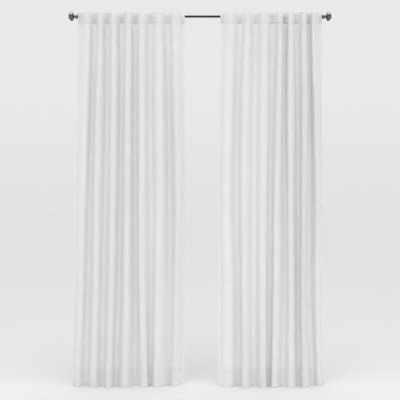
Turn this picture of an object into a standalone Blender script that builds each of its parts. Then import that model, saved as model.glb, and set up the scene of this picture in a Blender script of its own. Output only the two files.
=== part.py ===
"""Pair of curtain panels hung by hidden back tabs on a slim metal rod.

Metres, +Z up. X runs along the wall, Y points into it and the rod's axis is level with the
origin, which is the middle of the left wall plate's back. Tables are in millimetres:
"across" is measured from the middle of the pair and "reach" from the rod towards the room.
"""
import math
from collections import namedtuple

import bmesh
import bpy
from mathutils import Vector

MM = 0.001

# Where the rod runs
ROD_OUT = 75.0
ROD_RADIUS = 6.5
ROD_HALF = 699.2
PAIR_MIDDLE = 570.0
FIT = 0.3

# The cloth, one layer and where it is turned over and sewn
CLOTH = 1.2
HEMMED = 2.2
TOP = 22.0
HEADING_SEAM = -45.0
HEM_SEAM = -2017.0
BOTTOM = -2112.0
SEAM_STEP = 4.0
FLANK_STEPS = 5

# The tabs behind the heading
TAB_WIDTH = 17.0
TAB_THICK = 1.2
TAB_HALF_TROUGH = 9.5
LOOP_RADIUS = 9.2
LOOP_STEPS = 9

# Wall brackets
PLATE_WIDTH = 24.0
PLATE_HEIGHT = 76.0
PLATE_THICK = 4.0
PLATE_CORNER = 8.0
ARM_WIDTH = 10.0
ARM_HEIGHT = 8.0
CRADLE_WALL = 2.6
CRADLE_STEPS = 12
BRACKETS = {"bracket_left": -570.0, "bracket_right": 586.0}

# Heights at which the two fold tables below give a place
HEIGHTS = (-90.0, -602.0, -1054.0, -1506.0, BOTTOM)

Crest = namedtuple("Crest", "head upper middle lower hem reach_head reach_body reach_hem left_bow right_bow")
Valley = namedtuple("Valley", "head upper middle lower hem reach_body reach_hem")
Row = namedtuple("Row", "height valley_reach crest_share flat droop thick")
Panel = namedtuple("Panel", "start crests valleys corner_lift")

LEFT = Panel(
    start=Valley(-697, -711, -716, -716, -728, 24, 25),
    crests=(
        Crest(-642, -653, -667, -676, -696, 58, 62, 58, 70, 84),
        Crest(-565, -578, -585, -589, -603, 62, 73, 69, 74, 84),
        Crest(-490, -490, -495, -501, -517, 65, 76, 80, 74, 88),
        Crest(-405, -410, -412, -415, -423, 67, 77, 80, 84, 80),
        Crest(-333, -331, -333, -333, -315, 63, 69, 61, 74, 100),
        Crest(-233, -226, -225, -236, -246, 66, 74, 62, 100, 90),
        Crest(-141, -132, -125, -133, -148, 62, 65, 42, 80, 80),
    ),
    valleys=(
        Valley(-601, -616, -627, -638, -657, 10, 8),
        Valley(-531, -530, -539, -549, -561, 14, 20),
        Valley(-446, -449, -454, -463, -479, 14, 20),
        Valley(-369, -372, -370, -368, -375, 9, 4),
        Valley(-285, -286, -280, -279, -284, 11, 10),
        Valley(-186, -178, -172, -169, -172, 0, 2),
        Valley(-88, -88, -88, -88, -92, -2, -14),
    ),
    corner_lift=12.0,
)
RIGHT = Panel(
    start=Valley(117, 111, 106, 108, 105, 26, 34),
    crests=(
        Crest(173, 159, 150, 160, 162, 62, 67, 61, 104, 100),
        Crest(269, 254, 251, 250, 255, 67, 75, 80, 84, 80),
        Crest(364, 358, 354, 351, 353, 67, 75, 80, 78, 104),
        Crest(454, 441, 431, 426, 415, 65, 73, 69, 66, 98),
        Crest(514, 510, 509, 512, 511, 60, 69, 73, 70, 92),
        Crest(590, 591, 585, 580, 588, 62, 75, 80, 72, 96),
        Crest(645, 659, 667, 666, 678, 56, 60, 40, 62, 58),
    ),
    valleys=(
        Valley(226, 211, 210, 217, 219, 14, 12),
        Valley(318, 311, 308, 308, 310, 22, 22),
        Valley(415, 408, 400, 399, 389, 18, 16),
        Valley(481, 479, 487, 488, 473, 12, 20),
        Valley(551, 562, 563, 564, 565, 8, 20),
        Valley(617, 626, 626, 624, 643, 3, 0),
        Valley(697, 699, 702, 704, 714, 2, 4),
    ),
    corner_lift=0.0,
)

# valley_reach None takes the fold table's own; crest_share scales how far a crest stands out
ROWS = (
    Row(TOP, 2.5, 0.92, TAB_HALF_TROUGH, 9.0, HEMMED),
    Row(4.0, 12.0, 0.97, TAB_HALF_TROUGH, 9.0, HEMMED),
    Row(-14.0, 12.0, 1.00, TAB_HALF_TROUGH, 9.5, HEMMED),
    Row(HEADING_SEAM, 11.5, 1.02, TAB_HALF_TROUGH, 10.0, HEMMED),
    Row(HEADING_SEAM - SEAM_STEP, 11.5, 1.02, TAB_HALF_TROUGH, 10.0, CLOTH),
    Row(-120.0, 10.5, 1.00, 7.0, 8.0, CLOTH),
    Row(-330.0, None, 1.00, 4.0, 3.5, CLOTH),
    Row(-602.0, None, 1.00, 4.0, 0.0, CLOTH),
    Row(-1054.0, None, 1.00, 5.0, 0.0, CLOTH),
    Row(-1506.0, None, 1.00, 5.0, 0.0, CLOTH),
    Row(-1800.0, None, 1.00, 5.0, 0.0, CLOTH),
    Row(HEM_SEAM + SEAM_STEP, None, 1.00, 5.0, 0.0, CLOTH),
    Row(HEM_SEAM, None, 1.00, 5.0, 0.0, HEMMED),
    Row(BOTTOM, None, 1.00, 5.0, 0.0, HEMMED),
)
VALLEY_BOW = 50.0
LIFTED_SHARE = 0.1

# Half section of a finial: distance from the rod's end, radius
FINIAL = (
    (0.0, 11.8), (1.2, 13.2), (15.0, 13.2), (16.4, 12.0), (17.0, 7.6), (19.6, 5.6), (22.2, 7.2),
    (24.0, 13.6), (27.2, 20.4), (32.0, 24.8), (37.2, 25.9), (42.4, 24.6), (48.2, 19.8), (53.0, 13.0),
    (56.0, 6.2),
)
FINIAL_END = 57.0
ROUND = 24


def clear_scene():
    for thing in list(bpy.data.objects):
        bpy.data.objects.remove(thing, do_unlink=True)


def make_material(name, color, roughness, metallic=0.0):
    material = bpy.data.materials.new(name)
    material.use_nodes = True
    shader = material.node_tree.nodes["Principled BSDF"]
    shader.inputs["Base Color"].default_value = (*color, 1.0)
    shader.inputs["Roughness"].default_value = roughness
    shader.inputs["Metallic"].default_value = metallic
    return material


def place(across, reach, height):
    """A table's across, reach and height as a point of the room."""
    return Vector(((across + PAIR_MIDDLE) * MM, -(ROD_OUT + reach) * MM, height * MM))


def make_object(name, points, faces, material, smooth=True):
    mesh = bpy.data.meshes.new(name)
    mesh.from_pydata([tuple(point) for point in points], [], faces)
    mesh.materials.append(material)
    shape = bmesh.new()
    shape.from_mesh(mesh)
    bmesh.ops.recalc_face_normals(shape, faces=shape.faces)
    shape.to_mesh(mesh)
    shape.free()
    for face in mesh.polygons:
        face.use_smooth = smooth
    thing = bpy.data.objects.new(name, mesh)
    bpy.context.collection.objects.link(thing)
    return thing


def cap_faces(first, count, thin):
    """Fills a ring, straight across from one long side to the other if it is thin."""
    if not thin:
        return [tuple(range(first, first + count))]
    last = first + count - 1
    return [(first + j, first + j + 1, last - j - 1, last - j) for j in range(count // 2 - 1)]


def make_grid_solid(name, rings, material, thin=False, smooth=True):
    """Rings of equal length joined in turn, the first and last ring filled."""
    count = len(rings[0])
    points = [point for ring in rings for point in ring]
    faces = cap_faces(0, count, thin) + cap_faces(len(points) - count, count, thin)
    for low in range(0, len(points) - count, count):
        for j in range(count):
            k = (j + 1) % count
            faces.append((low + j, low + k, low + count + k, low + count + j))
    return make_object(name, points, faces, material, smooth)


def ease(value):
    return value * value * (3.0 - 2.0 * value)


def across_at(entry, height):
    """The entry's place across at a height, from its five columns."""
    columns = (entry.head, entry.upper, entry.middle, entry.lower, entry.hem)
    if height >= HEIGHTS[0]:
        return columns[0]
    for i in range(len(HEIGHTS) - 1):
        if height >= HEIGHTS[i + 1]:
            share = (HEIGHTS[i] - height) / (HEIGHTS[i] - HEIGHTS[i + 1])
            return columns[i] + (columns[i + 1] - columns[i]) * share
    return columns[-1]


def between(head, body, hem, height):
    """Eases from the heading's value to the body's, then to the hem's."""
    if height > HEIGHTS[1]:
        share = ease(min(1.0, max(0.0, (HEIGHTS[0] - height) / (HEIGHTS[0] - HEIGHTS[1]))))
        return head + (body - head) * share
    share = ease(max(0.0, (HEIGHTS[2] - height) / (HEIGHTS[2] - HEIGHTS[4])))
    return body + (hem - body) * share


def valley_reach(entry, row):
    if row.valley_reach is not None:
        return row.valley_reach
    return between(10.5, entry.reach_body, entry.reach_hem, row.height)


def hermite(start, end, start_bow, end_bow, share):
    """A point between two level-tangent points of the section, each bow being a tangent's length."""
    s2 = share * share
    s3 = s2 * share
    blend = 3.0 * s2 - 2.0 * s3
    across = start[0] + (end[0] - start[0]) * blend
    across += start_bow * (s3 - 2.0 * s2 + share) + end_bow * (s3 - s2)
    return across, start[1] + (end[1] - start[1]) * blend


def section(panel, row):
    """The cloth's middle line at a row, as across and reach."""
    start = across_at(panel.start, row.height)
    reach = valley_reach(panel.start, row)
    line = [(start, reach)]
    left = (start + 2.0 * row.flat, reach) if row.valley_reach is not None else (start + 3.0, reach)
    line.append(left)
    for number, (crest, valley) in enumerate(zip(panel.crests, panel.valleys)):
        last = number == len(panel.crests) - 1
        middle = across_at(valley, row.height)
        reach = valley_reach(valley, row)
        flat_start = middle - (2.0 if last else 1.0) * row.flat
        flat_end = middle if last else middle + row.flat
        out = between(crest.reach_head, crest.reach_body, crest.reach_hem, row.height) * row.crest_share
        top = (across_at(crest, row.height), out)
        right = (flat_start, reach)
        for i in range(1, FLANK_STEPS + 1):
            line.append(hermite(left, top, VALLEY_BOW, crest.left_bow, i / FLANK_STEPS))
        for i in range(1, FLANK_STEPS + 1):
            line.append(hermite(top, right, crest.right_bow, VALLEY_BOW, i / FLANK_STEPS))
        left = (flat_end, reach)
        line.append(left)
    return line


def cloth_ring(panel, row):
    """The closed outline of the cloth at a row: along its front, then back behind it."""
    line = section(panel, row)
    front = []
    back = []
    lowest = min(reach for _, reach in line)
    tallest = max(reach for _, reach in line)
    for i, (across, reach) in enumerate(line):
        before = line[max(i - 1, 0)]
        after = line[min(i + 1, len(line) - 1)]
        along = Vector((after[0] - before[0], after[1] - before[1])).normalized()
        side = Vector((-along.y, along.x)) * row.thick / 2.0
        height = row.height - row.droop * (reach - lowest) / (tallest - lowest)
        if row.height == BOTTOM:
            from_end = (len(line) - 1 - i) / (len(line) - 1)
            height += panel.corner_lift * ease(max(0.0, 1.0 - from_end / LIFTED_SHARE))
        front.append(place(across + side.x, reach + side.y, height))
        back.append(place(across - side.x, reach - side.y, height))
    return front + back[::-1]


def make_panel(name, panel, material):
    make_grid_solid(name, [cloth_ring(panel, row) for row in ROWS], material, thin=True)


def tab_line():
    """The tab's middle line seen along the rod, as reach and height, from its top end down."""
    back = HEMMED / 2.0 + FIT + TAB_THICK / 2.0
    lean = Vector((ROWS[1].valley_reach - ROWS[0].valley_reach, ROWS[1].height - ROWS[0].height))
    lean.normalize()
    aside = Vector((lean.y, -lean.x)) * back
    top = Vector((ROWS[0].valley_reach, ROWS[0].height)) + aside
    line = [top + lean * 1.5, top + lean * 7.0]
    for i in range(LOOP_STEPS):
        angle = math.radians(100.0 + 190.0 * i / (LOOP_STEPS - 1))
        line.append(Vector((math.cos(angle), math.sin(angle))) * LOOP_RADIUS)
    hang = ROWS[3].valley_reach - back
    line.append(Vector((hang - 3.0, -27.0)))
    line.append(Vector((hang, -34.0)))
    line.append(Vector((hang, HEADING_SEAM + 0.5)))
    return line


def make_tab(name, across, material):
    line = tab_line()
    rings = []
    for i, point in enumerate(line):
        along = (line[min(i + 1, len(line) - 1)] - line[max(i - 1, 0)]).normalized()
        side = Vector((-along.y, along.x)) * TAB_THICK / 2.0
        inner = point + side
        outer = point - side
        left = across - TAB_WIDTH / 2.0
        right = across + TAB_WIDTH / 2.0
        rings.append([
            place(left, inner.x, inner.y), place(right, inner.x, inner.y),
            place(right, outer.x, outer.y), place(left, outer.x, outer.y),
        ])
    make_grid_solid(name, rings, material)


def make_tabs(side, panel, material):
    start = panel.start.head + TAB_HALF_TROUGH
    middles = [valley.head for valley in panel.valleys[:-1]]
    end = panel.valleys[-1].head - TAB_HALF_TROUGH
    for i, across in enumerate([start, *middles, end]):
        make_tab(f"tab_{side}_{i + 1}", across, material)


def circle(across, radius):
    ring = []
    for i in range(ROUND):
        angle = 2.0 * math.pi * i / ROUND
        ring.append(place(across, radius * math.cos(angle), radius * math.sin(angle)))
    return ring


def make_rod(material):
    make_grid_solid("rod", [circle(-ROD_HALF, ROD_RADIUS), circle(ROD_HALF, ROD_RADIUS)], material)


def make_finial(name, way, material):
    """A turned knob on its collar, pointing left for way -1 and right for way 1."""
    base = ROD_HALF + FIT
    rings = [circle(way * (base + along), radius) for along, radius in FINIAL]
    points = [point for ring in rings for point in ring]
    points.append(place(way * (base + FINIAL_END), 0.0, 0.0))
    faces = [tuple(range(ROUND))]
    for i in range(len(rings) - 1):
        low = i * ROUND
        high = low + ROUND
        for j in range(ROUND):
            k = (j + 1) % ROUND
            faces.append((low + j, low + k, high + k, high + j))
    low = (len(rings) - 1) * ROUND
    for j in range(ROUND):
        faces.append((low + j, low + (j + 1) % ROUND, len(points) - 1))
    make_object(name, points, faces, material)


def join_union(thing, other):
    """Joins the other solid to the thing and removes it."""
    union = thing.modifiers.new("join", "BOOLEAN")
    union.operation = "UNION"
    union.solver = "EXACT"
    union.object = other
    graph = bpy.context.evaluated_depsgraph_get()
    joined = bpy.data.meshes.new_from_object(thing.evaluated_get(graph))
    thing.modifiers.clear()
    thing.data = joined
    bpy.data.objects.remove(other, do_unlink=True)


def plate_outline(across):
    """The plate's rounded outline at the wall, as across and height."""
    outline = []
    for turn in range(4):
        for step in range(4):
            angle = math.radians(90.0 * turn + 30.0 * step)
            side = 1.0 if turn in (0, 3) else -1.0
            up = 1.0 if turn in (0, 1) else -1.0
            outline.append((
                across + side * (PLATE_WIDTH / 2.0 - PLATE_CORNER) + PLATE_CORNER * math.cos(angle),
                up * (PLATE_HEIGHT / 2.0 - PLATE_CORNER) + PLATE_CORNER * math.sin(angle),
            ))
    return outline


def make_bracket(name, across, material):
    """A wall plate, an arm and an open cradle that the rod lies in."""
    outline = plate_outline(across)
    rings = []
    for reach in (-ROD_OUT, -ROD_OUT + PLATE_THICK):
        rings.append([place(x, reach, z) for x, z in outline])
    bracket = make_grid_solid(name, rings, material, smooth=False)

    inner = ROD_RADIUS + FIT
    outer = inner + CRADLE_WALL
    left = across - ARM_WIDTH / 2.0
    right = across + ARM_WIDTH / 2.0
    rings = []
    for reach in (-ROD_OUT + PLATE_THICK - 1.0, -inner - 1.0):
        top = -4.0 + ARM_HEIGHT / 2.0
        rings.append([
            place(left, reach, top), place(right, reach, top),
            place(right, reach, top - ARM_HEIGHT), place(left, reach, top - ARM_HEIGHT),
        ])
    arm = make_grid_solid("arm", rings, material, smooth=False)
    join_union(bracket, arm)

    rings = []
    for i in range(CRADLE_STEPS + 1):
        angle = math.radians(170.0 + 200.0 * i / CRADLE_STEPS)
        turn = Vector((math.cos(angle), math.sin(angle)))
        near = turn * inner
        far = turn * outer
        rings.append([
            place(left, near.x, near.y), place(right, near.x, near.y),
            place(right, far.x, far.y), place(left, far.x, far.y),
        ])
    cradle = make_grid_solid("cradle", rings, material, smooth=False)
    join_union(bracket, cradle)


def main():
    clear_scene()
    linen = make_material("white_linen", (0.80, 0.79, 0.77), 0.9)
    tape = make_material("white_tape", (0.76, 0.75, 0.73), 0.9)
    bronze = make_material("dark_bronze", (0.045, 0.036, 0.030), 0.28, metallic=0.85)
    knob = make_material("polished_bronze", (0.075, 0.056, 0.042), 0.2, metallic=0.9)
    iron = make_material("dark_bracket", (0.05, 0.045, 0.04), 0.45, metallic=0.8)
    make_panel("panel_left", LEFT, linen)
    make_panel("panel_right", RIGHT, linen)
    make_tabs("left", LEFT, tape)
    make_tabs("right", RIGHT, tape)
    make_rod(bronze)
    make_finial("finial_left", -1.0, knob)
    make_finial("finial_right", 1.0, knob)
    for name, across in BRACKETS.items():
        make_bracket(name, across, iron)


main()
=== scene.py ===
"""Dressed view of two linen-look curtain panels on their rod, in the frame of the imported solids.

Tables are in millimetres: "across" is measured from the middle of the pair, "reach" from the
rod's axis towards the room and "height" from the rod's axis upwards.
"""
import math
from collections import namedtuple

import bmesh
import bpy
import numpy as np
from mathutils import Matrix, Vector, noise


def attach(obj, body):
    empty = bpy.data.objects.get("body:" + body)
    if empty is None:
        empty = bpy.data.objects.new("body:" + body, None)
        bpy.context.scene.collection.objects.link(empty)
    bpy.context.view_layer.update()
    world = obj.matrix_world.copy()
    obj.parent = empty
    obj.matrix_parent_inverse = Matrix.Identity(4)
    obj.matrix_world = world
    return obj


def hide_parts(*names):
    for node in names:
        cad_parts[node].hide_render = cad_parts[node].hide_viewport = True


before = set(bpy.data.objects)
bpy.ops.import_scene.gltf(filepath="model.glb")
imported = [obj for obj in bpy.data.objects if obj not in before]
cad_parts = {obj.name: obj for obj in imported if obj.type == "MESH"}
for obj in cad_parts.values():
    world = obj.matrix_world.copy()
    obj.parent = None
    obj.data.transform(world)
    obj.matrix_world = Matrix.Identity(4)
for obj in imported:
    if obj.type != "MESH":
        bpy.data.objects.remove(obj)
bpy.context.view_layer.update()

Crest = namedtuple("Crest", "head upper middle lower hem reach_head reach_body reach_hem left_bow right_bow")
Valley = namedtuple("Valley", "head upper middle lower hem reach_body reach_hem")
Heading = namedtuple("Heading", "height valley_reach crest_share flat droop")
Crease = namedtuple("Crease", "across height half_length half_width depth lean")
Panel = namedtuple("Panel", "start crests valleys corner_lift creases")
Rows = namedtuple("Rows", "start end step")
Metal = namedtuple("Metal", "name dark light roughness grain coat")
Lamp = namedtuple("Lamp", "name width height spread watts tint spot target")
Strand = namedtuple("Strand", "across along detail weight")
Relief = namedtuple("Relief", "strength distance")

MM = 0.001
PAIR_MIDDLE = 570.0
ROD_OUT = 75.0
ROD_RADIUS = 6.5
ROD_WALL = 0.8
ROD_BEVEL = 0.3
ROD_HALF = 699.2
FIT = 0.3

# Thickness of one layer, of the heading and of a hem, and where the cloth is turned over
CLOTH = 0.9
HEADING_THICK = 1.9
HEMMED = 1.4
TOP = 22.0
HEADING_SEAM = -45.0
HEM_SEAM = -2017.0
SIDE_HEM = 22.0
BOTTOM = -2112.0
FLAT_SIZE = (1.1, 2.134)

# Rows of points down the fine sheet, close together at the heading and at the seams
ROWS = (
    Rows(TOP, -70.0, 3.0),
    Rows(-70.0, -160.0, 9.0),
    Rows(-160.0, HEM_SEAM + 24.0, 20.0),
    Rows(HEM_SEAM + 22.0, HEM_SEAM - 14.0, 2.5),
    Rows(HEM_SEAM - 16.0, BOTTOM + 4.0, 9.0),
)
LAST_ROWS = [BOTTOM + 1.5, BOTTOM]

# Heights at which the two fold tables give a place
HEIGHTS = (-90.0, -602.0, -1054.0, -1506.0, BOTTOM)

LEFT = Panel(
    start=Valley(-697, -711, -716, -716, -728, 24, 25),
    crests=(
        Crest(-642, -653, -667, -676, -696, 58, 62, 58, 70, 84),
        Crest(-565, -578, -585, -589, -603, 62, 73, 69, 74, 84),
        Crest(-490, -490, -495, -501, -517, 65, 76, 80, 74, 88),
        Crest(-405, -410, -412, -415, -423, 67, 77, 80, 84, 80),
        Crest(-333, -331, -333, -333, -315, 63, 69, 61, 74, 100),
        Crest(-233, -226, -225, -236, -246, 66, 74, 62, 100, 90),
        Crest(-141, -132, -125, -133, -148, 62, 65, 42, 80, 80),
    ),
    valleys=(
        Valley(-601, -616, -627, -638, -657, 10, 8),
        Valley(-531, -530, -539, -549, -561, 14, 20),
        Valley(-446, -449, -454, -463, -479, 14, 20),
        Valley(-369, -372, -370, -368, -375, 9, 4),
        Valley(-285, -286, -280, -279, -284, 11, 10),
        Valley(-186, -178, -172, -169, -172, 0, 2),
        Valley(-88, -88, -88, -88, -92, -2, -14),
    ),
    corner_lift=12.0,
    creases=(
        Crease(-335, -155, 34, 7, 2.0, 0.5),
        Crease(-130, -2010, 40, 9, 2.6, 0.35),
        Crease(-112, -2050, 34, 8, 2.2, -0.4),
        Crease(-150, -2066, 26, 8, -1.6, 0.6),
        Crease(-505, -170, 60, 9, 1.6, -0.15),
        Crease(-240, -200, 70, 10, 1.6, 0.14),
    ),
)
RIGHT = Panel(
    start=Valley(117, 111, 106, 108, 105, 26, 34),
    crests=(
        Crest(173, 159, 150, 160, 162, 62, 67, 61, 104, 100),
        Crest(269, 254, 251, 250, 255, 67, 75, 80, 84, 80),
        Crest(364, 358, 354, 351, 353, 67, 75, 80, 78, 104),
        Crest(454, 441, 431, 426, 415, 65, 73, 69, 66, 98),
        Crest(514, 510, 509, 512, 511, 60, 69, 73, 70, 92),
        Crest(590, 591, 585, 580, 588, 62, 75, 80, 72, 96),
        Crest(645, 659, 667, 666, 678, 56, 60, 40, 62, 58),
    ),
    valleys=(
        Valley(226, 211, 210, 217, 219, 14, 12),
        Valley(318, 311, 308, 308, 310, 22, 22),
        Valley(415, 408, 400, 399, 389, 18, 16),
        Valley(481, 479, 487, 488, 473, 12, 20),
        Valley(551, 562, 563, 564, 565, 8, 20),
        Valley(617, 626, 626, 624, 643, 3, 0),
        Valley(697, 699, 702, 704, 714, 2, 4),
    ),
    corner_lift=0.0,
    creases=(
        Crease(262, -2030, 30, 8, 2.2, 0.5),
        Crease(280, -2062, 28, 8, -1.6, -0.5),
        Crease(300, -180, 60, 9, 1.6, 0.15),
        Crease(440, -150, 46, 8, 1.4, -0.2),
    ),
)

# How the heading is held, down to where the fold tables take over
HEADINGS = (
    Heading(TOP, 2.5, 0.92, 9.5, 9.0),
    Heading(4.0, 12.0, 0.97, 9.5, 9.0),
    Heading(-14.0, 12.0, 1.00, 9.5, 9.5),
    Heading(-49.0, 11.5, 1.02, 9.5, 10.0),
    Heading(-120.0, 10.5, 1.00, 7.0, 8.0),
    Heading(-330.0, None, 1.00, 4.0, 3.5),
    Heading(-602.0, None, 1.00, 4.0, 0.0),
    Heading(-1054.0, None, 1.00, 5.0, 0.0),
)
SEAM_ROW = 3
HELD_REACH = 10.5
HELD_TO = -120.0
HELD_FADE = 210.0
CORNER = 6.0
FLAT_CORNER = 20.0

# How the sheet runs between crests and valleys, and its first flat
VALLEY_BOW = 50.0
FLANK_STEPS = 15
FLAT_STEPS = 3
START_FLAT = 3.0
START_FADE = 120.0

# The lifted hem at a panel's last edge
LIFTED_SHARE = 0.1
LIFTED_FROM = -2040.0

# Slow unevenness of the cloth: depth, where it starts, and its sizes along the cloth and up it
UNEVEN_DEPTH = 1.1
UNEVEN_FROM = -60.0
UNEVEN_FADE = 200.0
UNEVEN_ALONG = 46.0
UNEVEN_UP = 260.0
UNEVEN_SLICE = 4.7
RIPPLE_SHARE = 0.45
RIPPLE_FINER = 2.3
UNEVEN_SEEDS = (0.0, 900.0)

# How deep a seam draws the cloth in, how wide its dip is, and the puckers along it
SEAM_UP = 2.5
SEAM_DIP_WIDTH = 5.0
HEADING_DIP = 0.7
HEM_DIP = 0.5
PUCKER_DIP = 0.28
PUCKER_LENGTH = 17.0
PUCKER_DRIFT = 1.7
PUCKER_DRIFT_LENGTH = 31.0
SIDE_DIP = 0.35
SIDE_DIP_IN = 2.0
SIDE_DIP_WIDTH = 2.4
TURN_WIDTH = 2.5

# Tabs behind the heading: sewn points down from the top, the loop in degrees, the tail's reach and height
TAB_WIDTH = 17.0
TAB_THICK = 1.0
TAB_HALF_TROUGH = 9.5
TAB_GAP = 0.35
TAB_SEWN = (1.5, 4.0, 7.0)
LOOP_RADIUS = 9.2
LOOP_FROM = 100.0
LOOP_TURN = 190.0
LOOP_STEPS = 26
TAB_TAIL = ((-3.6, -25.0), (-0.9, -32.0), (0.0, -38.0), (0.0, HEADING_SEAM + 0.5))

# Section of a tab: place across it and thickness, both as shares
TAB_SECTION = ((-0.5, 0.7), (-0.42, 1.0), (-0.2, 0.8), (0.0, 0.8), (0.2, 0.8), (0.42, 1.0), (0.5, 0.7))

# Stitches
STITCH = 2.8
STITCH_PITCH = 3.8
STITCH_HALF_WIDTH = 0.32
STITCH_PROUD = 0.22
STITCH_INSET = 2.5
STEEP = 0.7

# Half sections of a finial's collar and of its knob: distance from the rod's end, radius
COLLAR = (
    (0.0, 11.8), (0.5, 12.8), (1.4, 13.2), (4.6, 13.2), (5.0, 12.7), (5.6, 12.7), (6.0, 13.2),
    (14.3, 13.2), (15.6, 12.8), (16.3, 12.0), (16.8, 8.8), (17.8, 6.6), (19.6, 5.6), (21.0, 6.0),
)
KNOB = (
    (22.2, 7.2), (24.0, 13.6), (27.2, 20.4), (32.0, 24.8), (37.2, 25.9), (42.4, 24.6), (48.2, 19.8),
    (53.0, 13.0), (56.0, 6.2), (57.0, 0.0),
)
KNOB_RINGS = 44
KNOB_TIP = 0.05
ROUND = 72
BRACKET_BEVEL = 0.5

# Colours of the cloth, and its dark and light threads as shares of them; the band colour is painted shade on
# the doubled cloth
LINEN = (0.718, 0.716, 0.713)
# painted shade: darkens the doubled cloth at the hem and the heading, where less light glows through
BAND_PAINTED_SHADE = (0.99, 0.99, 0.99)
TAPE = (0.77, 0.76, 0.75)
THREAD = (0.72, 0.715, 0.71)
WHITE = (1.0, 1.0, 1.0)
DARK_THREAD = 0.90
LIGHT_THREAD = 1.06
DARK_TAPE = 0.88

# Weft, warp, slubs and slow clouds: repeats a metre across and along the cloth, fineness, share
WEAVE = (
    Strand(28.0, 900.0, 3.0, 0.31),
    Strand(900.0, 22.0, 3.0, 0.31),
    Strand(9.0, 240.0, 2.0, 0.26),
    Strand(5.0, 3.0, 2.0, 0.12),
)
WEAVE_ROUGH = 0.6
TAPE_GRAIN = 900.0
TAPE_DETAIL = 2.0
LINEN_RELIEF = Relief(0.35, 0.0006)
TAPE_RELIEF = Relief(0.4, 0.0003)
SEAM_SOFT = 0.0006
GLOW_DEPTH = 0.004

# Places on the noise's range where a dark colour ends and a light one starts
LINEN_STOPS = (0.30, 0.68)
TAPE_STOPS = (0.35, 0.65)
METAL_STOPS = (0.35, 0.7)

# Metal: what all three share, and the least and most of their own roughness
METALLIC = 0.85
COAT_ROUGHNESS = 0.06
COAT_IOR = 1.8
MOTTLE_DETAIL = 4.0
POLISH = (0.8, 1.25)

ROD_METAL = Metal("bronze", (0.013, 0.011, 0.010), (0.021, 0.017, 0.015), 0.3, 220.0, 0.1)
KNOB_METAL = Metal("knob_bronze", (0.048, 0.028, 0.014), (0.076, 0.046, 0.026), 0.12, 160.0, 1.0)
BRACKET_METAL = Metal("bracket_bronze", (0.045, 0.038, 0.033), (0.062, 0.054, 0.048), 0.42, 260.0, 0.1)

# Room: lamps in metres from the middle of the pair, spread in degrees
FLOOR_DROP = 1.5
FLOOR_HALF = 60.0
FLOOR_COLOR = (0.93, 0.93, 0.93)
SKY_LIGHT = 0.817
HORIZON_LIGHT = 0.771
HORIZON_RISE = 0.16
LAMPS = (
    Lamp("key", 1.8, 2.4, 140.0, 10.2, (1.0, 0.985, 0.965), (-1.8, -3.3, -0.35), (0.0, -0.1, -1.0)),
    Lamp("fill", 1.6, 0.7, 110.0, 6.8, WHITE, (1.5, -3.3, -1.45), (0.25, -0.1, -1.95)),
    Lamp("top", 2.4, 1.0, 180.0, 12.0, WHITE, (0.35, -0.8, 1.6), (0.2, -0.1, 0.0)),
)
GLOSS_LAMP = Lamp("gloss", 4.4, 2.2, 180.0, 200.0, WHITE, (0.0, -0.75, 2.6), (0.0, -0.1, 0.0))

# Camera
CAMERA_OUT = 4140.0
CAMERA_HEIGHT = -1053.6
FRAME_WIDTH_AT_CLOTH = 2260.0
CLOTH_OUT = 140.0
SENSOR = 36.0


def place(across, reach, height):
    """Table coordinates to the frame's, for one point."""
    return Vector(((across + PAIR_MIDDLE) * MM, -(ROD_OUT + reach) * MM, height * MM))


def to_room(points):
    """Table coordinates to the frame's, for an array of points."""
    return np.stack([
        (points[..., 0] + PAIR_MIDDLE) * MM,
        -(ROD_OUT + points[..., 1]) * MM,
        points[..., 2] * MM,
    ], axis=-1)


def ease(value):
    """A soft step from 0 to 1."""
    value = np.clip(value, 0.0, 1.0)
    return value * value * (3.0 - 2.0 * value)


def smooth_curve(height, heights, values):
    """A smooth curve through the values given at falling heights."""
    at = -np.asarray(height, float)
    knots = -np.asarray(heights, float)
    values = np.asarray(values, float)
    slopes = np.gradient(values, knots)
    slopes[0] = (values[1] - values[0]) / (knots[1] - knots[0])
    slopes[-1] = (values[-1] - values[-2]) / (knots[-1] - knots[-2])
    at = np.clip(at, knots[0], knots[-1])
    i = np.clip(np.searchsorted(knots, at, side="right") - 1, 0, len(knots) - 2)
    span = knots[i + 1] - knots[i]
    t = (at - knots[i]) / span
    t2 = t * t
    t3 = t2 * t
    low = (2 * t3 - 3 * t2 + 1) * values[i] + (t3 - 2 * t2 + t) * span * slopes[i]
    return low + (3 * t2 - 2 * t3) * values[i + 1] + (t3 - t2) * span * slopes[i + 1]


def across_at(entry, height):
    """Where a crest or a valley is at each height."""
    return smooth_curve(height, HEIGHTS, (entry.head, entry.upper, entry.middle, entry.lower, entry.hem))


def between(head, body, hem, height):
    """Eases from the heading's value to the body's, then to the hem's."""
    upper = head + (body - head) * ease((HEIGHTS[0] - height) / (HEIGHTS[0] - HEIGHTS[1]))
    lower = body + (hem - body) * ease((HEIGHTS[2] - height) / (HEIGHTS[2] - HEIGHTS[4]))
    return np.where(height > HEIGHTS[1], upper, lower)


def heading_curve(height, values, corner=CORNER):
    """A heading column at each height, its corners softened."""
    heights = -np.array([row.height for row in HEADINGS])
    shifts = (-corner, -corner / 2.0, 0.0, corner / 2.0, corner)
    return sum(np.interp(-height + shift, heights, values) for shift in shifts) / len(shifts)


def valley_reach(entry, height):
    """How far a valley stands out: held by the tabs at the heading, its own below."""
    own = between(HELD_REACH, entry.reach_body, entry.reach_hem, height)
    values = [HELD_REACH if row.valley_reach is None else row.valley_reach for row in HEADINGS]
    held = heading_curve(height, values)
    return held + (own - held) * ease((HELD_TO - height) / HELD_FADE)


def hermite(start, end, start_bow, end_bow, share):
    """A point of the flank between a valley and a crest, as across and reach."""
    s2 = share * share
    s3 = s2 * share
    blend = 3.0 * s2 - 2.0 * s3
    across = start[0] + (end[0] - start[0]) * blend
    across = across + start_bow * (s3 - 2.0 * s2 + share) + end_bow * (s3 - s2)
    return across, start[1] + (end[1] - start[1]) * blend


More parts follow.
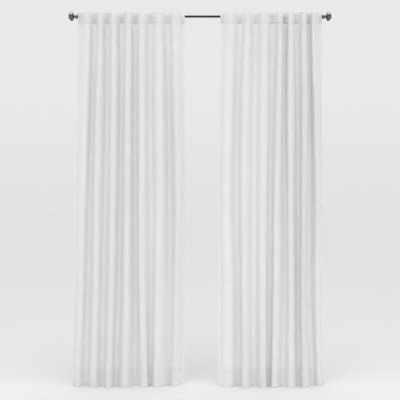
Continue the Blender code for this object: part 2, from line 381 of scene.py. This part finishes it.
def panel_heights():
    """The heights of the fine sheet's rows, from the top down."""
    rows = [height for stretch in ROWS for height in np.arange(stretch.start, stretch.end, -stretch.step)]
    return np.array(sorted(set(np.round(rows + LAST_ROWS, 2)), reverse=True))


def middle_sheet(panel, height):
    """The cloth's middle surface as arrays of across and reach, a row for each height."""
    flat = heading_curve(height, [row.flat for row in HEADINGS], FLAT_CORNER)
    share = heading_curve(height, [row.crest_share for row in HEADINGS])
    steps = np.arange(1, FLANK_STEPS + 1) / FLANK_STEPS
    start = across_at(panel.start, height)
    reach = valley_reach(panel.start, height)
    held = 1.0 - ease((HEIGHTS[0] - height) / START_FADE)
    start_flat = START_FLAT + (2.0 * flat - START_FLAT) * held
    columns = [(start + start_flat * i / FLAT_STEPS, reach) for i in range(FLAT_STEPS + 1)]
    left = columns[-1]
    for number, (crest, valley) in enumerate(zip(panel.crests, panel.valleys)):
        last = number == len(panel.crests) - 1
        middle = across_at(valley, height)
        reach = valley_reach(valley, height)
        out = between(crest.reach_head, crest.reach_body, crest.reach_hem, height) * share
        top = (across_at(crest, height), out)
        flat_start = middle - (2.0 if last else 1.0) * flat
        flat_end = middle if last else middle + flat
        columns += [hermite(left, top, VALLEY_BOW, crest.left_bow, step) for step in steps]
        columns += [hermite(top, (flat_start, reach), crest.right_bow, VALLEY_BOW, step) for step in steps]
        for i in range(1, FLAT_STEPS + 1):
            columns.append((flat_start + (flat_end - flat_start) * i / FLAT_STEPS, reach))
        left = columns[-1]
    across = np.stack([column[0] for column in columns], axis=1)
    reach = np.stack([column[1] for column in columns], axis=1)
    return across, reach


def slopes_along(values):
    """How values change along each row."""
    slopes = np.empty_like(values)
    slopes[:, 1:-1] = values[:, 2:] - values[:, :-2]
    slopes[:, 0] = values[:, 1] - values[:, 0]
    slopes[:, -1] = values[:, -1] - values[:, -2]
    return slopes


def crease_depths(panel, across, height):
    """How far each point is pushed in by the panel's small creases."""
    pushed = np.zeros_like(across)
    for crease in panel.creases:
        down = (crease.height - height) / crease.half_length
        aside = (across - crease.across - crease.lean * (crease.height - height)) / crease.half_width
        pushed += crease.depth * np.exp(-aside**2 - np.abs(down) ** 3)
    return pushed


def cloth_noise(along, height):
    """Slow unevenness of the cloth, between about -1 and 1."""
    out = np.empty_like(along)
    for index in np.ndindex(along.shape):
        spot = Vector((along[index] / UNEVEN_ALONG, height[index[0]] / UNEVEN_UP, UNEVEN_SLICE))
        out[index] = noise.noise(spot) + RIPPLE_SHARE * noise.noise(spot * RIPPLE_FINER)
    return out


def level_dip(tall, seam):
    """The share of a level seam's dip that is felt at each height."""
    return np.exp(-((tall - seam - SEAM_UP) / SEAM_DIP_WIDTH) ** 2)


def seam_depths(along, from_edge, tall, seed):
    """How far the seams draw the cloth in."""
    drift = PUCKER_DRIFT * np.sin(along / PUCKER_DRIFT_LENGTH + seed)
    pucker = np.sin(along * 2.0 * math.pi / PUCKER_LENGTH + drift)
    heading = level_dip(tall, HEADING_SEAM)
    hem = level_dip(tall, HEM_SEAM)
    side = np.exp(-((from_edge - SIDE_HEM + SIDE_DIP_IN) / SIDE_DIP_WIDTH) ** 2)
    return HEADING_DIP * heading + HEM_DIP * hem + PUCKER_DIP * pucker * (heading + hem) + SIDE_DIP * side


def half_thickness(from_edge, tall):
    """Half the cloth's thickness, more where it is turned over."""
    turned = ease((HEM_SEAM - tall) / TURN_WIDTH + 0.5)
    turned = np.maximum(turned, ease((SIDE_HEM - from_edge) / TURN_WIDTH + 0.5))
    half = (CLOTH + (HEMMED - CLOTH) * turned) / 2.0
    return half + (HEADING_THICK / 2.0 - half) * ease((tall - HEADING_SEAM) / TURN_WIDTH + 0.5)


def hung_heights(panel, along, reach, height):
    """Each point's height, with crests that droop and a last corner that is lifted at the hem."""
    tall = height[:, None]
    low = reach.min(axis=1, keepdims=True)
    high = reach.max(axis=1, keepdims=True)
    droop = heading_curve(height, [row.droop for row in HEADINGS])[:, None]
    drop = droop * (reach - low) / (high - low)
    from_end = 1.0 - along / along[:, -1:]
    lift = panel.corner_lift * ease(1.0 - from_end / LIFTED_SHARE)
    return tall - drop + lift * ease((LIFTED_FROM - tall) / (LIFTED_FROM - BOTTOM))


def sheet_surfaces(panel, seed):
    """Front and back of the cloth as row by column grids of points, and the distance along it."""
    height = panel_heights()
    tall = height[:, None]
    across, reach = middle_sheet(panel, height)
    run_x = slopes_along(across)
    run_y = slopes_along(reach)
    run = np.hypot(run_x, run_y)
    side_x = -run_y / run
    side_y = run_x / run
    pieces = np.hypot(np.diff(across, axis=1), np.diff(reach, axis=1))
    along = np.concatenate([np.zeros((len(height), 1)), np.cumsum(pieces, axis=1)], axis=1)
    from_edge = np.minimum(along, along[:, -1:] - along)

    uneven = UNEVEN_DEPTH * cloth_noise(along + seed, height) * ease((UNEVEN_FROM - tall) / UNEVEN_FADE)
    push = crease_depths(panel, across, tall) - uneven + seam_depths(along, from_edge, tall, seed)
    half = half_thickness(from_edge, tall)
    level = hung_heights(panel, along, reach, height)
    front = np.stack([across + side_x * (half - push), reach + side_y * (half - push), level], axis=2)
    back = np.stack([across - side_x * (half + push), reach - side_y * (half + push), level], axis=2)
    return front, back, along, height


def new_object(name, mesh, material, smooth=True):
    """An object in the scene from a mesh, with one material."""
    thing = bpy.data.objects.new(name, mesh)
    bpy.context.scene.collection.objects.link(thing)
    mesh.materials.append(material)
    mesh.polygons.foreach_set("use_smooth", [smooth] * len(mesh.polygons))
    return thing


def quads_between(one, other):
    """Four-sided faces between two rows, or between each row of a grid and the next."""
    corners = [one[..., :-1], other[..., :-1], other[..., 1:], one[..., 1:]]
    return np.stack(corners, axis=-1).reshape(-1, 4)


def build_panel(name, panel, seed, material):
    """A closed sheet from the front and back grids, with a UV map in metres of flat cloth."""
    front, back, along, height = sheet_surfaces(panel, seed)
    rows, columns = along.shape
    points = np.concatenate([to_room(front).reshape(-1, 3), to_room(back).reshape(-1, 3)])
    index = np.arange(rows * columns).reshape(rows, columns)
    behind = index + rows * columns
    faces = np.concatenate([
        quads_between(index[:-1], index[1:]),
        quads_between(behind[1:], behind[:-1]),
        quads_between(behind[0], index[0]),
        quads_between(index[-1], behind[-1]),
        quads_between(index[:, 0], behind[:, 0]),
        quads_between(behind[:, -1], index[:, -1]),
    ])
    mesh = bpy.data.meshes.new(name)
    mesh.from_pydata(points.tolist(), [], faces.tolist())
    flat_u = (along / along[:, -1:] * FLAT_SIZE[0]).reshape(-1)
    flat_v = np.broadcast_to((height * MM)[:, None], along.shape).reshape(-1)
    flat = np.stack([np.tile(flat_u, 2), np.tile(flat_v, 2)], axis=1)
    layer = mesh.uv_layers.new(name="cloth")
    loops = np.empty(len(mesh.loops), int)
    mesh.loops.foreach_get("vertex_index", loops)
    layer.data.foreach_set("uv", flat[loops].reshape(-1))
    return new_object(name, mesh, material), (front, back, along, height)


def level_line(surface, height, at_height):
    """The surface's points along a level seam."""
    return surface[int(np.argmin(np.abs(height - at_height)))]


def upright_line(surface, along, inset):
    """The surface's points along a seam beside its first edge, or its last where inset is negative."""
    line = []
    for run, points in zip(along, surface):
        where = inset if inset > 0 else run[-1] + inset
        line.append([np.interp(where, run, points[:, axis]) for axis in range(3)])
    return np.array(line)


def stitch_out(way, side):
    """The direction, square to a stitch, that stands out of the cloth on one side of it."""
    if abs(way[2]) < STEEP:
        out = np.cross(way, (0.0, 0.0, 1.0))
    else:
        out = np.array([0.0, 1.0, 0.0]) - way * way[1]
    out = out / np.linalg.norm(out)
    return -out if out[1] * side < 0 else out


def stitch_run(line, side):
    """Sharp-ended thread dashes along a line of points, each a low lozenge."""
    steps = np.linalg.norm(np.diff(line, axis=0), axis=1)
    distance = np.concatenate([[0.0], np.cumsum(steps)])
    points = []
    faces = []
    for start in np.arange(STITCH_PITCH, distance[-1] - STITCH_PITCH, STITCH_PITCH):
        a = np.array([np.interp(start, distance, line[:, axis]) for axis in range(3)])
        b = np.array([np.interp(start + STITCH, distance, line[:, axis]) for axis in range(3)])
        way = (b - a) / np.linalg.norm(b - a)
        out = stitch_out(way, side)
        wide = np.cross(way, out)
        middle = (a + b) / 2.0
        base = len(points)
        points += [
            a, b, middle + wide * STITCH_HALF_WIDTH, middle + out * STITCH_PROUD,
            middle - wide * STITCH_HALF_WIDTH, middle - out * STITCH_PROUD,
        ]
        for i in range(4):
            j = (i + 1) % 4
            faces.append((base, base + 2 + i, base + 2 + j))
            faces.append((base + 1, base + 2 + j, base + 2 + i))
    return points, faces


def build_stitches(name, grids, material):
    """The stitches of the heading, the hem and the side hems, on both faces of the cloth."""
    front, back, along, height = grids
    points = []
    faces = []
    for surface, side in ((front, 1.0), (back, -1.0)):
        lines = [
            level_line(surface, height, HEADING_SEAM + STITCH_INSET),
            level_line(surface, height, HEM_SEAM - STITCH_INSET),
            upright_line(surface, along, SIDE_HEM - STITCH_INSET),
            upright_line(surface, along, STITCH_INSET - SIDE_HEM),
        ]
        for line in lines:
            more, sides = stitch_run(line, side)
            faces += [tuple(corner + len(points) for corner in face) for face in sides]
            points += more
    mesh = bpy.data.meshes.new(name)
    mesh.from_pydata(to_room(np.array(points)).tolist(), [], faces)
    return new_object(name, mesh, material)


def tab_line():
    """The tab's middle line seen along the rod, as reach and height, from its top end down."""
    behind = HEADING_THICK / 2.0 + TAB_GAP + TAB_THICK / 2.0
    first, second = HEADINGS[:2]
    lean = Vector((second.valley_reach - first.valley_reach, second.height - first.height)).normalized()
    top = Vector((first.valley_reach, TOP)) + Vector((lean.y, -lean.x)) * behind
    line = [top + lean * down for down in TAB_SEWN]
    for i in range(LOOP_STEPS):
        angle = math.radians(LOOP_FROM + LOOP_TURN * i / (LOOP_STEPS - 1))
        line.append(Vector((math.cos(angle), math.sin(angle))) * LOOP_RADIUS)
    hang = HEADINGS[SEAM_ROW].valley_reach - behind
    return line + [Vector((hang + reach, height)) for reach, height in TAB_TAIL]


def ring_faces(count, total, flip=False):
    """Caps and sides of a body made of rings of points, a ring at a time."""
    faces = [tuple(range(count)), tuple(range(total - count, total))]
    for low in range(0, total - count, count):
        for j in range(count):
            k = (j + 1) % count
            side = (low + j, low + k, low + count + k, low + count + j)
            faces.append((side[0], side[3], side[2], side[1]) if flip else side)
    return faces


def build_tab(name, across, material):
    """A loop of tape with slightly thicker turned edges."""
    line = tab_line()
    points = []
    for i, point in enumerate(line):
        along = (line[min(i + 1, len(line) - 1)] - line[max(i - 1, 0)]).normalized()
        side = Vector((-along.y, along.x)) * TAB_THICK / 2.0
        for sign, section in ((1.0, TAB_SECTION), (-1.0, TAB_SECTION[::-1])):
            for share, thick in section:
                spot = point + side * thick * sign
                points.append(tuple(place(across + share * TAB_WIDTH, spot.x, spot.y)))
    faces = ring_faces(2 * len(TAB_SECTION), len(points), flip=True)
    faces[1] = faces[1][::-1]
    mesh = bpy.data.meshes.new(name)
    mesh.from_pydata(points, [], faces)
    return new_object(name, mesh, material)


def lathe(name, profile, way, base, material):
    """Turns a half section about the rod's axis."""
    points = []
    for along, radius in profile:
        for i in range(ROUND):
            angle = 2.0 * math.pi * i / ROUND
            spot = place(way * (base + along), radius * math.cos(angle), radius * math.sin(angle))
            points.append(tuple(spot))
    mesh = bpy.data.meshes.new(name)
    mesh.from_pydata(points, [], ring_faces(ROUND, len(points)))
    thing = new_object(name, mesh, material)
    mesh.update()
    fix_normals(mesh)
    return thing


def fix_normals(mesh):
    """Turns every face outwards."""
    shape = bmesh.new()
    shape.from_mesh(mesh)
    bmesh.ops.recalc_face_normals(shape, faces=shape.faces)
    shape.to_mesh(mesh)
    shape.free()


def finial_profile():
    """A finial's half section: the collar's as it is, the knob's with its swell rounded."""
    knob = np.array(KNOB)
    turned = np.concatenate([[0.0], np.cumsum(np.hypot(*np.diff(knob, axis=0).T))])
    at = np.linspace(0.0, turned[-1], KNOB_RINGS)
    along = smooth_curve(-at, -turned, knob[:, 0])
    radius = smooth_curve(-at, -turned, knob[:, 1])
    radius[-1] = KNOB_TIP
    return list(COLLAR) + list(zip(along, np.maximum(radius, KNOB_TIP)))


def rod_profile():
    """The rod's half section: its outside with softened rims, closed at both ends."""
    inner = ROD_RADIUS - ROD_WALL
    edge = ROD_RADIUS - ROD_BEVEL
    end = 2.0 * ROD_HALF
    return [
        (0.0, inner), (0.0, edge), (ROD_BEVEL, ROD_RADIUS),
        (end - ROD_BEVEL, ROD_RADIUS), (end, edge), (end, inner),
    ]


def new_material(name, sockets):
    """A material's node tree and its shader, with the shader's own sockets set."""
    material = bpy.data.materials.new(name)
    material.use_nodes = True
    shader = material.node_tree.nodes["Principled BSDF"]
    for socket, value in sockets.items():
        shader.inputs[socket].default_value = value
    return material, material.node_tree, shader


def noise_texture(tree, vector, scale, detail):
    """A noise texture's value at the places given."""
    texture = tree.nodes.new("ShaderNodeTexNoise")
    texture.inputs["Scale"].default_value = scale
    texture.inputs["Detail"].default_value = detail
    tree.links.new(vector, texture.inputs["Vector"])
    return texture


def object_noise(tree, scale, detail):
    """Noise by the place in the room."""
    where = tree.nodes.new("ShaderNodeTexCoord")
    return noise_texture(tree, where.outputs["Object"], scale, detail).outputs["Fac"]


def strand_noise(tree, uv, strand):
    """Noise in the cloth's own metres, finer one way than the other."""
    mapping = tree.nodes.new("ShaderNodeMapping")
    mapping.inputs["Scale"].default_value = (strand.across, strand.along, 1.0)
    tree.links.new(uv, mapping.inputs["Vector"])
    texture = noise_texture(tree, mapping.outputs["Vector"], 1.0, strand.detail)
    texture.inputs["Roughness"].default_value = WEAVE_ROUGH
    return texture.outputs["Fac"]


def math_node(tree, kind, first, second):
    """A sum, difference, product or share of two sockets or numbers."""
    step = tree.nodes.new("ShaderNodeMath")
    step.operation = kind
    for socket, value in zip(step.inputs, (first, second)):
        if isinstance(value, float):
            socket.default_value = value
        else:
            tree.links.new(value, socket)
    return step.outputs["Value"]


def color_ramp(tree, factor, positions, colors):
    """A colour that follows the factor, one colour at each of the rising positions."""
    ramp = tree.nodes.new("ShaderNodeValToRGB")
    elements = ramp.color_ramp.elements
    for number, (position, color) in enumerate(zip(positions, colors)):
        element = elements[number] if number < 2 else elements.new(position)
        element.position = position
        element.color = (*color, 1.0)
    tree.links.new(factor, ramp.inputs["Fac"])
    return ramp.outputs["Color"]


def tinted(color, factor):
    """A colour made darker or lighter, up to white."""
    return tuple(min(1.0, channel * factor) for channel in color)


def add_relief(tree, shader, height, relief):
    """Fine relief from the height given."""
    bump = tree.nodes.new("ShaderNodeBump")
    bump.inputs["Strength"].default_value = relief.strength
    bump.inputs["Distance"].default_value = relief.distance
    tree.links.new(height, bump.inputs["Height"])
    tree.links.new(bump.outputs["Normal"], shader.inputs["Normal"])


def cloth_sockets(roughness, sheen):
    """Socket values of a pale cloth that light glows through."""
    return {
        "Roughness": roughness,
        "Sheen Weight": sheen,
        "Specular IOR Level": 0.04,
        "Subsurface Weight": 1.0,
        "Subsurface Radius": WHITE,
        "Subsurface Scale": GLOW_DEPTH,
    }


def weave_value(tree, uv):
    """The weave's strands, each by its share, mixed to one value."""
    total = 0.0
    for strand in WEAVE:
        part = math_node(tree, "MULTIPLY", strand_noise(tree, uv, strand), strand.weight)
        total = math_node(tree, "ADD", total, part)
    return total


def painted_band_shade(tree, uv):
    """A slight painted shade where the cloth is double, at the hem and at the heading, where less light
    glows through.
    """
    span = (TOP - BOTTOM) * MM
    hem = (HEM_SEAM - BOTTOM) * MM / span
    heading = (HEADING_SEAM - BOTTOM) * MM / span
    split = tree.nodes.new("ShaderNodeSeparateXYZ")
    tree.links.new(uv, split.inputs["Vector"])
    share = math_node(tree, "DIVIDE", math_node(tree, "SUBTRACT", split.outputs["Y"], BOTTOM * MM), span)
    positions = (hem - SEAM_SOFT, hem + SEAM_SOFT, heading - SEAM_SOFT, heading + SEAM_SOFT)
    return color_ramp(tree, share, positions, (BAND_PAINTED_SHADE, WHITE, WHITE, BAND_PAINTED_SHADE))


def linen_material():
    """Slubby plain weave in the cloth's own metres, with painted shade on the doubled bands."""
    material, tree, shader = new_material("linen", cloth_sockets(0.92, 0.12))
    shader.inputs["Sheen Roughness"].default_value = 0.6
    where = tree.nodes.new("ShaderNodeUVMap")
    where.uv_map = "cloth"
    uv = where.outputs["UV"]
    weave = weave_value(tree, uv)
    ends = (tinted(LINEN, DARK_THREAD), tinted(LINEN, LIGHT_THREAD))
    threads = color_ramp(tree, weave, LINEN_STOPS, ends)
    # multiplies the threads by the painted shade of the doubled bands
    tint = tree.nodes.new("ShaderNodeMix")
    tint.data_type = "RGBA"
    tint.blend_type = "MULTIPLY"
    tint.inputs["Factor"].default_value = 1.0
    tree.links.new(threads, tint.inputs["A"])
    tree.links.new(painted_band_shade(tree, uv), tint.inputs["B"])
    tree.links.new(tint.outputs["Result"], shader.inputs["Base Color"])
    add_relief(tree, shader, weave, LINEN_RELIEF)
    return material


def tape_material(name, base):
    """Plain woven tape, by its place in the room because it has no flat pattern."""
    material, tree, shader = new_material(name, cloth_sockets(0.9, 0.1))
    grain = object_noise(tree, TAPE_GRAIN, TAPE_DETAIL)
    color = color_ramp(tree, grain, TAPE_STOPS, (tinted(base, DARK_TAPE), base))
    tree.links.new(color, shader.inputs["Base Color"])
    add_relief(tree, shader, grain, TAPE_RELIEF)
    return material


def metal_material(metal):
    """Dark bronze with a slight mottle in colour and polish, under a clear coat."""
    material, tree, shader = new_material(metal.name, {
        "Metallic": METALLIC,
        "Coat Weight": metal.coat,
        "Coat Roughness": COAT_ROUGHNESS,
        "Coat IOR": COAT_IOR,
    })
    mottle = object_noise(tree, metal.grain, MOTTLE_DETAIL)
    color = color_ramp(tree, mottle, METAL_STOPS, (metal.dark, metal.light))
    tree.links.new(color, shader.inputs["Base Color"])
    polish = tree.nodes.new("ShaderNodeMapRange")
    polish.inputs["To Min"].default_value = metal.roughness * POLISH[0]
    polish.inputs["To Max"].default_value = metal.roughness * POLISH[1]
    tree.links.new(mottle, polish.inputs["Value"])
    tree.links.new(polish.outputs["Result"], shader.inputs["Roughness"])
    return material


def build_floor():
    """A wide pale floor just under the hems."""
    level = (BOTTOM - FLOOR_DROP) * MM
    middle = PAIR_MIDDLE * MM
    signs = [(-1.0, -1.0), (1.0, -1.0), (1.0, 1.0), (-1.0, 1.0)]
    corners = [(middle + x * FLOOR_HALF, y * FLOOR_HALF, level) for x, y in signs]
    mesh = bpy.data.meshes.new("floor")
    mesh.from_pydata(corners, [], [(0, 1, 2, 3)])
    material, _, _ = new_material("pale_floor", {
        "Base Color": (*FLOOR_COLOR, 1.0),
        "Roughness": 0.9,
        "Specular IOR Level": 0.0,
    })
    floor = new_object("floor", mesh, material, smooth=False)


def build_sky():
    """Even white light from all round, a little less of it towards the horizon."""
    world = bpy.data.worlds.new("studio")
    world.use_nodes = True
    tree = world.node_tree
    way = tree.nodes.new("ShaderNodeTexCoord")
    split = tree.nodes.new("ShaderNodeSeparateXYZ")
    rise = tree.nodes.new("ShaderNodeMapRange")
    rise.interpolation_type = "SMOOTHSTEP"
    rise.inputs["From Max"].default_value = HORIZON_RISE
    rise.inputs["To Min"].default_value = HORIZON_LIGHT
    rise.inputs["To Max"].default_value = SKY_LIGHT
    tree.links.new(way.outputs["Generated"], split.inputs["Vector"])
    tree.links.new(split.outputs["Z"], rise.inputs["Value"])
    tree.links.new(rise.outputs["Result"], tree.nodes["Background"].inputs["Strength"])
    tree.nodes["Background"].inputs["Color"].default_value = (*WHITE, 1.0)
    bpy.context.scene.world = world


def build_lamp(lamp):
    """A soft lamp from its row in the table."""
    light = bpy.data.lights.new(lamp.name, "AREA")
    light.shape = "RECTANGLE"
    light.size = lamp.width
    light.size_y = lamp.height
    light.spread = math.radians(lamp.spread)
    light.energy = lamp.watts
    light.color = lamp.tint
    thing = bpy.data.objects.new(lamp.name, light)
    bpy.context.scene.collection.objects.link(thing)
    middle = Vector((PAIR_MIDDLE * MM, 0.0, 0.0))
    thing.location = middle + Vector(lamp.spot)
    towards = middle + Vector(lamp.target) - thing.location
    thing.rotation_mode = "QUATERNION"
    thing.rotation_quaternion = towards.to_track_quat("-Z", "Y")
    return thing


def build_camera():
    """The photo's view, level and square to the wall."""
    camera = bpy.data.cameras.new("camera")
    camera.sensor_width = SENSOR
    camera.lens = SENSOR * (CAMERA_OUT - CLOTH_OUT) / FRAME_WIDTH_AT_CLOTH
    thing = bpy.data.objects.new("camera", camera)
    bpy.context.scene.collection.objects.link(thing)
    thing.location = Vector((PAIR_MIDDLE * MM, -CAMERA_OUT * MM, CAMERA_HEIGHT * MM))
    thing.rotation_euler = (math.radians(90.0), 0.0, 0.0)
    bpy.context.scene.camera = thing
    bpy.context.scene.view_settings.view_transform = "Standard"


def dress_side(side, panel, seed, linen, tape, thread):
    """One panel with its stitches and tabs, riding on the frame."""
    cloth, grids = build_panel(f"cloth_{side}", panel, seed, linen)
    stitches = build_stitches(f"stitches_{side}", grids, thread)
    middles = [panel.start.head + TAB_HALF_TROUGH]
    middles += [valley.head for valley in panel.valleys[:-1]]
    middles.append(panel.valleys[-1].head - TAB_HALF_TROUGH)
    tabs = []
    for i, across in enumerate(middles):
        tab = build_tab(f"loop_{side}_{i + 1}", across, tape)
        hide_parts(f"tab_{side}_{i + 1}")
        tabs.append(tab)
    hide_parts(f"panel_{side}")
    for piece in [cloth, stitches, *tabs]:
        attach(piece, "root")


def dress_panels():
    """Both panels, each with an unevenness of its own."""
    linen = linen_material()
    tape = tape_material("tape", TAPE)
    thread = tape_material("thread", THREAD)
    dress_side("left", LEFT, UNEVEN_SEEDS[0], linen, tape, thread)
    dress_side("right", RIGHT, UNEVEN_SEEDS[1], linen, tape, thread)


def dress_hardware():
    """The rod and the knobs in finer shapes, and the brackets with softened edges."""
    knob = metal_material(KNOB_METAL)
    iron = metal_material(BRACKET_METAL)
    rod = lathe("rod_tube", rod_profile(), 1.0, -ROD_HALF, metal_material(ROD_METAL))
    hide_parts("rod")
    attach(rod, "root")
    for side, way in (("left", -1.0), ("right", 1.0)):
        finial = lathe(f"knob_{side}", finial_profile(), way, ROD_HALF + FIT, knob)
        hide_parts(f"finial_{side}")
        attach(finial, "root")
        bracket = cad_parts[f"bracket_{side}"]
        bracket.data.materials.clear()
        bracket.data.materials.append(iron)
        bevel = bracket.modifiers.new("edges", "BEVEL")
        bevel.width = BRACKET_BEVEL * MM
        bevel.segments = 2
        bevel.limit_method = "ANGLE"


def build_room():
    """Floor, sky and lamps; the gloss lamp shows in the metal only."""
    build_floor()
    build_sky()
    for lamp in LAMPS:
        build_lamp(lamp)
    build_lamp(GLOSS_LAMP).visible_diffuse = False


dress_panels()
dress_hardware()
build_room()
build_camera()
